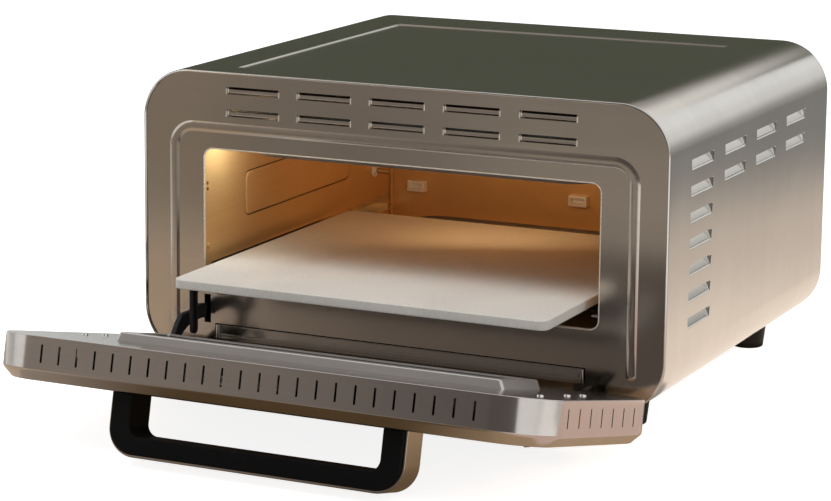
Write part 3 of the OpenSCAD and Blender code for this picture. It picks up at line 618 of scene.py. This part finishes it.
def makeCavityWalls():
    look = cavityLook
    x, wall, corner = look["x"], look["wall"], look["panelCorner"]
    depth, height = (look["front"], look["back"]), (look["low"], look["high"])
    holeY, holeRows = look["holes"]
    sheet = block((-x - wall, -x), depth, height)
    cutters = [barrel(-x, holeY, z, 1.7, 6, "X", sides=20) for z in holeRows]
    cutters.append(barrel(-x, *look["probe"], 3.2, 6, "X", sides=24))
    cutAway(sheet, cutters)
    (y0, y1), (z0, z1), seam = look["panelY"], look["panelZ"], look["seam"]
    opening = turnedPanel((y0, y1), (z0, z1), corner, -x)
    thicken(opening, 6, offset=0.0)
    cutAway(sheet, [opening])
    press = turnedPanel((y0 + seam, y1 - seam), (z0 + seam, z1 - seam), corner - seam, -x, look["rise"])
    thicken(press, wall)
    left = joinAll([sheet, press, panHead(-x + 0.6, *look["screw"], 2.6, "X")])
    finishPiece(left, "cavityLeftWall", "liner", "oven", atOven, ["cavity_left_wall"])

    sheet = block((x, x + wall), depth, height)
    elementY, elementZ = look["elementHoles"]
    cutters = [barrel(x, holeY, z, 1.1, 6, "X", sides=20) for z in holeRows]
    cutters += [barrel(x, y, z, 3.7, 6, "X", sides=24) for y in elementY for z in elementZ]
    cutters.append(block((x - 3, x + 3), *look["lampHole"]))
    cutAway(sheet, cutters)
    leftPress = turnedPanel(look["panelY"], look["panelZ"], corner, -x, look["rise"])
    right = joinAll([sheet, mirrorCopy(leftPress)])
    dropAll(leftPress)
    finishPiece(right, "cavityRightWall", "liner", "oven", atOven, ["cavity_right_wall"])

    back = look["back"]
    sheet = block((-x, x), (back, back + wall), (look["low"] - 1, look["high"] + 1))
    press = roundPanel(*look["backPress"], back, segments=6)
    startEdit()
    insets((1.2, 0.9))
    endEdit()
    low, high = height
    bead = barrel(-x + 1.6, back - 1.6, (low + high) / 2, 1.3, high - low - 2, "Z", sides=20)
    softenEdges(bead, 0.4, segments=2)
    rear = joinAll([sheet, press, bead])
    finishPiece(rear, "cavityBackWall", "liner", "oven", atOven, ["cavity_back_wall"])


def makeLinerParts():
    # the black sheet behind the left wall's holes and the seam round its pressed panel, painted shade that
    # stands in for the dark inside the wall, and the collar of the temperature probe
    look = cavityLook
    x, (y, z) = -look["x"], look["probe"]
    # painted shade: a black sheet put where there is only shade, so the holes and the seam read dark
    sheet = block((x - 2.9, x - 2.5), (8, 318), (look["low"] + 2, look["high"] - 4))
    softenEdges(sheet, 0.1, segments=1)
    finishPiece(sheet, "paintedShadeBacking", "blackSteel", "oven", atOven, [])
    collar = [barrel(x + 0.7, y, z, 6.5, 1.3, "X", sides=28), barrel(x + 2.4, y, z, 4.2, 2.4, "X", sides=6)]
    for piece in collar:
        softenEdges(piece, 0.4, segments=2)
        cutAway(piece, [barrel(x, y, z, 3.1, 20, "X", sides=24)])
    finishPiece(joinAll(collar), "probeCollar", "clip", "oven", atOven, [])


def makeClips():
    # open boxes on the back wall, level with the stone
    look = {"places": (-147, 13.5, 150), "width": 18, "low": 83.5, "high": 94, "depth": 8, "wall": 2.6}
    y = cavityLook["back"]
    clips = []
    for x in look["places"]:
        half = look["width"] / 2
        clip = block((x - half, x + half), (y - look["depth"], y - 0.2), (look["low"], look["high"]))
        softenEdges(clip, 1.2, segments=3)
        hole = block((x - half + look["wall"], x + half - look["wall"]), (y - look["depth"] - 1, y - 1),
                     (look["low"] + look["wall"], look["high"] - look["wall"]))
        softenEdges(hole, 0.6, segments=2)
        cutAway(clip, [hole])
        clips.append(clip)
    finishPiece(joinAll(clips), "stopClips", "clip", "oven", atOven, ["stop_clips"])


makeCavityWalls()
makeLinerParts()
makeClips()
print("cavity modelled")


doorLook = {"low": 2, "inner": -1.5, "rim": -28, "outer": -36, "bevel": 8, "sheet": 1.2,
            "topSlits": 24, "topPitch": 15.5, "sideSlits": 7, "sidePitch": 22.6, "sideFirst": 58,
            "slitWidth": 1.8, "slitHeight": 14, "notch": (150, 178), "notchTop": 25, "armSlot": (41.8, 60.8),
            "windowWidth": 328, "windowLow": 83, "windowHigh": 158, "frameWidth": 12, "rise": 7, "draft": 3,
            "controlZ": 58, "dialX": 150, "screwX": 205, "screwZ": (103, 135), "upperScrewZ": 188}


def hingeNotches(back):
    # where the hinges pass through the bottom edge
    near, far = doorLook["notch"]
    return [block((side * near, side * far), (back, 2), (-2, doorLook["notchTop"])) for side in (-1, 1)]


def windowHole(y, depth):
    look = doorLook
    inset = look["frameWidth"]
    hole = roundPanel(look["windowWidth"] - 2 * inset, look["windowLow"] + inset,
                      look["windowHigh"] - inset, 4, y, segments=6)
    thicken(hole, depth)
    return hole


def makeDoorShell():
    look = doorLook
    shell = roundPanel(oven["width"], look["low"], oven["height"], oven["corner"], look["rim"], segments=18)
    startEdit()
    insets((look["bevel"], look["bevel"]))
    pick("edges", lambda p: abs(p.y - look["rim"]) < 0.01)
    pullEdges(0, look["inner"] - 0.6 - look["rim"], 0)
    endEdit()
    outward(shell)
    softenEdges(shell, 1.4, segments=4, angle=30)
    thicken(shell, look["sheet"])
    mid = (look["inner"] + look["rim"]) / 2
    halfWidth, halfHeight = look["slitWidth"] / 2, look["slitHeight"] / 2
    slitY = (mid - halfHeight, mid + halfHeight)
    cutters = []
    for i in range(look["topSlits"]):
        x = (i - (look["topSlits"] - 1) / 2) * look["topPitch"]
        cutters.append(block((x - halfWidth, x + halfWidth), slitY, (oven["height"] - 4, oven["height"] + 2)))
    rim = oven["width"] / 2
    for i in range(look["sideSlits"]):
        z = look["sideFirst"] + i * look["sidePitch"]
        for side in (-1, 1):
            cutters.append(block((side * (rim - 4), side * (rim + 2)), slitY, (z - halfWidth, z + halfWidth)))
    cutters += hingeNotches(look["rim"])
    window = roundPanel(look["windowWidth"] - 20, look["windowLow"] + 2, look["windowHigh"], 10,
                        look["outer"] - 4, segments=8)
    thicken(window, 8)
    cutters.append(window)
    for x, radius in ((-look["dialX"], 5), (0, 7), (look["dialX"], 5)):
        cutters.append(barrel(x, look["outer"], look["controlZ"], radius, 6))
    cutAway(shell, cutters)
    finishPiece(shell, "doorShell", "door", "door", atDoor, ["door_shell"])


def makeInnerPanel():
    look = doorLook
    edge = 0.8
    panel = roundPanel(oven["width"] - 2 * edge, look["low"] + edge, oven["height"] - edge,
                       oven["corner"] - edge, look["inner"], segments=18)
    startEdit()
    bpy.ops.mesh.flip_normals()
    endEdit()
    thicken(panel, look["sheet"])
    softenEdges(panel, 0.9, segments=4)
    cutAway(panel, [windowHole(-6, 8)] + hingeNotches(-6)
            + [block(fasciaLook["armSlot"][0], (-6, 2), look["armSlot"])])
    finishPiece(panel, "doorInnerPanel", "panel", "door", atDoor, ["door_inner_panel"])


def makeWindowFrame():
    look = doorLook
    rim = roundPanel(look["windowWidth"], look["windowLow"], look["windowHigh"], 3, look["inner"], segments=5)
    startEdit()
    pullFaces(0, look["rise"], 0)
    bpy.ops.transform.resize(value=(1 - 2 * look["draft"] / look["windowWidth"], 1, 1),
                             center_override=mm(0, look["inner"], 0))
    pick("faces", lambda p: abs(p.y - look["inner"]) < 0.05)
    bpy.ops.mesh.delete(type="FACE")
    endEdit()
    outward(rim)
    softenEdges(rim, 1.2, segments=4)
    thicken(rim, 1.2)
    cutAway(rim, [windowHole(look["inner"] - 2, 14)])
    finishPiece(rim, "windowFrame", "frame", "door", atDoor, ["window_frame"])


handleLook = {"width": 245, "reach": 48, "leg": 18.5, "bar": 16, "depth": 15.5, "band": 2, "z": 213,
              "corner": 22, "inner": 9, "boltX": 112}


def handlePlan(inset, legInset, radius, y0, z0, z1):
    # the U's plan as a solid block with round front corners, inset at its bar and at its legs
    look = handleLook
    width, reach = look["width"] - 2 * legInset, look["reach"] - inset
    obj = roundPanel(width, -reach, reach, radius, 0, segments=12)
    startEdit()
    splitAt("Z", 0, clear_outer=True)
    endEdit()
    applyPlace(obj, rotation_euler=(-math.pi / 2, 0, 0))
    thicken(obj, z1 - z0, offset=1.0)
    outward(obj)
    low = min(v.co.z for v in obj.data.vertices)
    return applyPlace(obj, location=(0, y0 / 1000, z0 / 1000 - low))


def makeHandle():
    look = handleLook
    z0, z1 = look["z"] - look["depth"], look["z"] + look["depth"]
    face, band, leg = doorLook["outer"], look["band"], look["width"] / 2 - look["leg"]
    grip = handlePlan(band, band, look["corner"] - band, face, z0, z1)
    cutAway(grip, [handlePlan(look["bar"], look["leg"], look["inner"], face, z0 - 2, z1 + 2)])
    cutAway(grip, [block((-leg, leg), (face - 1, face + 4), (z0 - 2, z1 + 2))])
    softenEdges(grip, 2.2, segments=4, angle=40)
    finishPiece(grip, "handleGrip", "blackPlastic", "door", atDoor, ["handle_grip"])
    strap = handlePlan(0, 0, look["corner"], face, z0 + 1, z1 - 3)
    cutAway(strap, [handlePlan(band, band, look["corner"] - band, face + 0.5, z0 - 2, z1 + 2)])
    softenEdges(strap, 0.5, segments=3, angle=40)
    finishPiece(strap, "handleBand", "front", "door", atDoor, ["handle_band"])


hingeLook = {"x": 171, "thick": 4.5, "sleeve": 7.5, "bore": 3.05, "plate": (-11, -2.7), "top": 79,
             "flange": ((-3.9, -2.7), (30, 76)), "arcIn": 33, "arcOut": 45, "arc": (93, 85, 77),
             "link": {"x": -158, "y": -45, "z": 71.4, "length": 34, "width": 8.5, "thick": 3.5}}


def moveEnd(old, new):
    # in edit mode, takes the two selected verts from one pair of places to the next
    mesh = bmesh.from_edit_mesh(bpy.context.object.data)
    places = [(Vector(a), Vector(b)) for a, b in zip(old, new)]
    for vertex in mesh.verts:
        if vertex.select:
            nearest = min(places, key=lambda pair: (vertex.co - pair[0]).length)
            vertex.co = nearest[1]
    bmesh.update_edit_mesh(bpy.context.object.data)


def ribbon(pairs, x, thickness):
    # a flat bar on edge through pairs of outline points (y, z), grown from its end edge
    steps = [[mm(x, *point) for point in pair] for pair in pairs]
    deselect()
    bpy.ops.mesh.primitive_plane_add(size=1)
    obj = bpy.context.object
    startEdit()
    pick("verts", lambda p: p.x > 0)
    bpy.ops.mesh.delete(type="VERT")
    selectAll()
    moveEnd([(-0.5, -0.5, 0), (-0.5, 0.5, 0)], steps[0])
    for old, new in zip(steps, steps[1:]):
        bpy.ops.mesh.extrude_edges_move()
        moveEnd(old, new)
    endEdit()
    thicken(obj, thickness, offset=0.0)
    outward(obj)
    return obj


def makeLug(side):
    look = hingeLook
    half = look["thick"] / 2
    y, z = oven["pivot"]
    x = side * look["x"]
    sleeve = barrel(x, y, z, look["sleeve"], look["thick"], "X", sides=48)
    cutAway(sleeve, [barrel(x, y, z, look["bore"], 10, "X", sides=48)])
    plate = block((x - half, x + half), look["plate"], (z, look["top"]))
    flange = block((side * (look["x"] - 9), side * (look["x"] - half)), *look["flange"])
    for piece in (sleeve, plate, flange):
        softenEdges(piece, 0.4, segments=2, angle=50)
    return [sleeve, plate, flange]


def makeHinges():
    look = hingeLook
    y, z = oven["pivot"]
    pairs = []
    for turn in (math.radians(degrees) for degrees in look["arc"]):
        pairs.append([(y + radius * math.sin(turn), z + radius * math.cos(turn))
                      for radius in (look["arcOut"], look["arcIn"])])
    # the arm's shoulder as (y, z) pairs from the pivot, with the door closed
    shoulder = [((38.2, 23.2), (29.6, 18)), ((36.5, 32), (25.2, 27.4)), ((34.5, 38.8), (21.5, 32.5)),
                ((28, 43.3), (18, 36.5)), ((20, 47.4), (14.3, 40.2)), ((14.8, 49.3), (13, 39.2)),
                ((13.4, 54.6), (12, 38.6)), ((4, 48), (4, 33))]
    pairs += [[(y + a, z + b) for a, b in pair] for pair in shoulder]
    arm = ribbon(pairs, -look["x"], look["thick"])
    softenEdges(arm, 0.7, segments=3, angle=50)
    for parts, name, replaced in ((makeLug(-1) + [arm], "hingeArmLeft", "hinge_arm_left"),
                                  (makeLug(1), "hingeLugRight", "hinge_lug_right")):
        finishPiece(joinAll(parts), name, "blackSteel", "door", atDoor, [replaced])
    link = look["link"]
    half = link["width"] / 2
    bar = roundPanel(link["width"], link["z"] - link["length"] - half, link["z"] + half, half - 0.02, 0,
                     segments=10)
    thicken(bar, link["thick"], offset=0.0)
    applyPlace(bar, rotation_euler=(0, 0, math.pi / 2), location=mm(link["x"], link["y"], 0))
    cutAway(bar, [barrel(link["x"], link["y"], link["z"], 2.05, 8, "X", sides=32)])
    outward(bar)
    softenEdges(bar, 0.6, segments=3, angle=50)
    finishPiece(bar, "pullLink", "blackSteel", "link", atOven, ["pull_link"])


def makeDoorScrews():
    look = doorLook
    outer, far = look["outer"], look["screwX"]
    places = [(x, z) for x in (-far, far) for z in look["screwZ"]] + [(far, look["upperScrewZ"])]
    heads = [panHead(x, look["inner"] + 0.5, z, 2.8, "Y") for x, z in places]
    for x in (-handleLook["boltX"], handleLook["boltX"]):
        bolt = barrel(x, outer - 2, handleLook["z"], 2.5, 11, sides=24)
        head = barrel(x, outer + 2.6, handleLook["z"], 4.5, 2.6, sides=6)
        softenEdges(head, 0.4, segments=2)
        heads += [bolt, head]
    finishPiece(joinAll(heads), "doorScrews", "screw", "door", atDoor, ["door_screws"])


makeDoorShell()
makeInnerPanel()
makeWindowFrame()
makeHandle()
makeHinges()
makeDoorScrews()
print("door modelled")


def makeStone():
    look = {"side": 323, "thick": 8, "top": 84, "out": 74, "corner": 8, "edge": 1.1}
    stone = roundPanel(look["side"], -look["out"], look["side"] - look["out"], look["corner"], 0, segments=8)
    applyPlace(stone, rotation_euler=(-math.pi / 2, 0, 0))
    thicken(stone, look["thick"], offset=0.0)
    outward(stone)
    softenEdges(stone, look["edge"], segments=3)
    applyPlace(stone, location=mm(0, 0, look["top"] - look["thick"] / 2))
    finishPiece(stone, "bakingStone", "stone", "stone_carrier", atOven, ["pizza_stone"])


def makeFeet():
    look = {"x": 182, "front": 54, "rear": 344, "radius": 16, "height": oven["foot"], "rim": 7.5, "hollow": 8}
    for side, sideName in ((-1, "left"), (1, "right")):
        for y, endName in ((look["front"], "front"), (look["rear"], "rear")):
            foot = barrel(side * look["x"], y, -look["height"] / 2, look["radius"] - 2.5, look["height"], "Z",
                          sides=40, tip=look["radius"])
            startEdit()
            pick("faces", lambda p: p.z < -look["height"] + 0.1)
            insets((look["rim"], 0))
            pullFaces(0, 0, look["hollow"])
            endEdit()
            outward(foot)
            softenEdges(foot, 1.2, segments=4, angle=40)
            finishPiece(foot, f"foot{endName.title()}{sideName.title()}", "footPlastic", "oven", atOven,
                        [f"foot_{endName}_{sideName}"])


def makeKnob(x, name, body, replaced):
    z, radius, grips = doorLook["controlZ"], 15, 24
    y = doorLook["outer"] - 1.5
    skirt = barrel(x, y - 1.75, z, radius, 3.5, sides=48, tip=radius - 1)
    softenEdges(skirt, 0.6)
    crown = barrel(x, y - 4.25, z, radius - 2, 8.5, sides=48, tip=radius - 3)
    flutes = []
    for i in range(grips):
        turn, reach = 2 * math.pi * i / grips, radius - 1.6
        flutes.append(barrel(x + reach * math.cos(turn), y - 7, z + reach * math.sin(turn), 1.0, 6, sides=10))
    cutAway(crown, flutes)
    mark = block((x - 0.9, x + 0.9), (y - 9.6, y - 8), (z + 2, z + 11.5))
    softenEdges(mark, 0.3)
    stem = barrel(x, y + 6, z, 3, 13, sides=24)
    knob = joinAll([skirt, crown, mark, stem])
    finishPiece(knob, name, "blackPlastic", body, atDoor, [replaced])


makeStone()
makeFeet()
makeKnob(-doorLook["dialX"], "temperatureKnob", "temperature_dial", "temperature_knob")
makeKnob(doorLook["dialX"], "timerKnob", "timer_dial", "timer_knob")
print("stone, feet and controls modelled")


def cardPaint(name, stops, way):
    # unlit paint, one colour or fading through stops of (distance along the way, colour)
    mat = bpy.data.materials.new(name)
    mat.use_nodes = True
    tree = mat.node_tree
    tree.nodes.clear()
    paint = (*stops[0][1], 1)
    if len(stops) > 1:
        start, end = stops[0][0], stops[-1][0]
        coords = addNode(tree, "TexCoord", {})
        along = addNode(tree, "VectorMath", {0: coords.outputs["Object"], 1: way}, operation="DOT_PRODUCT")
        share = addNode(tree, "MapRange", {"Value": along.outputs["Value"],
                                           "From Min": start, "From Max": end})
        ramp = addNode(tree, "ValToRGB", {"Fac": share.outputs[0]})
        ramp.color_ramp.interpolation = "EASE"
        elements = ramp.color_ramp.elements
        while len(elements) < len(stops):
            elements.new(0.5)
        for element, (place, colour) in zip(elements, stops):
            element.position = (place - start) / (end - start)
            element.color = (*colour, 1)
        paint = ramp.outputs["Color"]
    glow = addNode(tree, "Emission", {"Color": paint, "Strength": 1.0})
    addNode(tree, "OutputMaterial", {"Surface": glow.outputs[0]})
    return mat


def reflectorCard(name, corners, stops, way=(1, 0, 0)):
    # a studio card that only the polished metal sees
    deselect()
    bpy.ops.mesh.primitive_plane_add(size=1)
    card = bpy.context.object
    card.name = name
    for vertex, corner in zip(card.data.vertices, (corners[0], corners[1], corners[3], corners[2])):
        vertex.co = corner
    card.data.materials.append(cardPaint(name, stops, way))
    for ray in ("camera", "diffuse", "shadow", "transmission", "volume_scatter"):
        setattr(card, "visible_" + ray, False)


def floorCard(name, x, y, stops, way=(1, 0, 0), z=0.004):
    reflectorCard(name, [(x[0], y[0], z), (x[1], y[0], z), (x[1], y[1], z), (x[0], y[1], z)], stops, way)


def wallCard(name, start, end, top, stops, way=(1, 0, 0), foot=0.005):
    reflectorCard(name, [(*start, foot), (*end, foot), (*end, top), (*start, top)], stops, way)


def addLamp(name, place, way, power):
    deselect()
    bpy.ops.object.light_add(type="AREA", location=place)
    lamp = bpy.context.object
    lamp.name = name
    lamp.rotation_euler = way.to_track_quat("-Z", "Y").to_euler()
    lamp.data.energy = power
    return lamp


def makeStudio():
    deselect()
    bpy.ops.mesh.primitive_plane_add(size=14, location=(0, 0, 0))
    floor = bpy.context.object
    floor.name = "studioFloor"
    mat, tree, shader = newMaterial("studioFloor")[:3]
    rays = addNode(tree, "LightPath", {})
    glow = addNode(tree, "Math", {0: rays.outputs["Is Camera Ray"], 1: 0.86}, operation="MULTIPLY")
    fillInputs(tree, shader, {"Base Color": (0.82, 0.82, 0.82, 1), "Roughness": 0.9,
                              "Specular IOR Level": 0.1, "Emission Color": (1, 1, 1, 1),
                              "Emission Strength": glow.outputs[0]})
    floor.data.materials.append(mat)

    # white to the eye and to polished metal, dim as a light
    world = bpy.data.worlds.new("studioWorld")
    bpy.context.scene.world = world
    world.use_nodes = True
    tree = world.node_tree
    rays = addNode(tree, "LightPath", {})
    seen = rays.outputs["Is Camera Ray"]
    for kind in ("Is Glossy Ray", "Is Transmission Ray"):
        seen = addNode(tree, "Math", {0: seen, 1: rays.outputs[kind]}, operation="MAXIMUM").outputs[0]
    level = addNode(tree, "MapRange", {"Value": seen, "To Min": 0.32, "To Max": 1.0})
    fillInputs(tree, tree.nodes["Background"], {"Color": (1, 1, 1, 1), "Strength": level.outputs[0]})

    mirrored = (1, -0.525, 0)    # across the way in which the front mirrors the floor
    underDoor, shade = (-0.62, -0.03), (0.11, 0.07, 0.035)
    floorCard("frontFloorCard", (-3.4, 0.3), (-3.2, -0.62),
              [(-0.20, (0.31, 0.265, 0.205)), (-0.05, (0.22, 0.20, 0.18)), (0.12, (0.22, 0.20, 0.18)),
               (0.24, (0.40, 0.365, 0.32))], mirrored)
    floorCard("underDoorLeft", (-0.8, -0.02), underDoor, [(-0.26, (0.40, 0.33, 0.28)), (-0.08, shade)])
    floorCard("underDoorRight", (-0.02, 0.235), underDoor, [(0.08, shade), (0.22, (0.48, 0.34, 0.22))])
    floorCard("doorSideCard", (0.235, 0.44), (-0.62, 0.03), [(0, (0.74, 0.55, 0.47))])
    floorCard("whiteFloorCard", (0.44, 2.6), (-3.2, -0.1), [(0, (1.15, 1.14, 1.12))])
    floorCard("rightFloorCard", (0.12, 1.5), (0.03, 3.4),
              [(0.36, (1.07, 0.91, 0.77)), (0.62, (0.74, 0.63, 0.54)), (0.95, (0.27, 0.265, 0.255))],
              (1, 0.3, 0))
    floorCard("sideLightCard", (0.62, 2.2), (-0.1, 0.33), [(0, (1.0, 0.99, 0.96))], z=0.008)
    floorCard("warmFloorCard", (-0.5, -0.25), (-0.6, -0.12), [(0, (0.58, 0.46, 0.35))], z=0.008)
    floorCard("leftFloorCard", (-0.8, -0.26), (-0.6, 0.9),
              [(-0.75, (1.15, 1.15, 1.13)), (-0.45, (0.52, 0.52, 0.51))])
    wallCard("frontCard", (-1.5, -1.52), (1.7, -2.3), 2.8,
             [(-1.0, (0.31, 0.27, 0.24)), (-0.3, (0.12, 0.105, 0.10))])
    wallCard("streakCard", (-1.45, -1.48), (-1.22, -1.53), 1.8, [(0, (1.6, 1.36, 1.14))], foot=1.0)
    wallCard("rightCard", (2.0, -0.05), (2.0, 1.6), 0.45, [(0, (0.56, 0.43, 0.34))])
    wallCard("sideCard", (2.0, 1.6), (0.9, 3.4), 1.2,
             [(0.05, (0.36, 0.35, 0.335)), (0.62, (0.86, 0.86, 0.84)), (1.15, (1.0, 1.0, 0.99))], (0, 0, 1))
    wallCard("backCard", (-4.5, 3.2), (0.55, 3.2), 1.32, [(0, (0.078, 0.083, 0.058))])
    wallCard("backLeftCard", (-4.5, 3.3), (0.6, 3.3), 2.9,
             [(-1.1, (0.17, 0.17, 0.155)), (-0.5, (0.42, 0.40, 0.37)), (0.35, (0.98, 0.95, 0.91))])

    lamps = (("keyLight", (-0.9, -0.9, 2.6), 1.6, 40), ("fillLight", (2.0, -0.8, 2.0), 1.8, 14),
             ("frontLight", (0.5, -2.6, 0.5), 1.2, 1.5))
    aim = Vector((0, 0, 0.12))
    for name, place, size, power in lamps:
        lamp = addLamp(name, place, aim - Vector(place), power)
        lamp.data.size = size
        lamp.visible_glossy = False
    inside = (("cavityLight", (-146, 26, 186), (0.03, 0.02), 0.055, (-1, 0.25, -0.5), (0.88, 1.0, 0.98)),
              ("cavityGlow", (20, 150, 170), (0.12, 0.04), 0.09, (-0.45, 1, -0.1), (1.0, 0.64, 0.31)))
    for name, place, size, power, way, colour in inside:
        lamp = addLamp(name, atOven @ Vector(mm(*place)), Vector(way), power)
        lamp.data.shape = "RECTANGLE"
        lamp.data.size, lamp.data.size_y = size
        lamp.data.color = colour


def makeCamera():
    deselect()
    bpy.ops.object.camera_add(location=(0.9710, -2.1407, 0.6115),
                              rotation=(math.radians(90 - 11.289), 0, math.radians(27.745)))
    camera = bpy.context.object
    camera.name = "viewCamera"
    camera.data.sensor_width = 36
    camera.data.lens = 126.63
    camera.data.shift_x = 0.1803
    camera.data.shift_y = -0.0373
    camera.data.clip_end = 60
    bpy.context.scene.camera = camera


makeStudio()
makeCamera()
bpy.context.scene.view_settings.view_transform = "Standard"
print("studio ready")
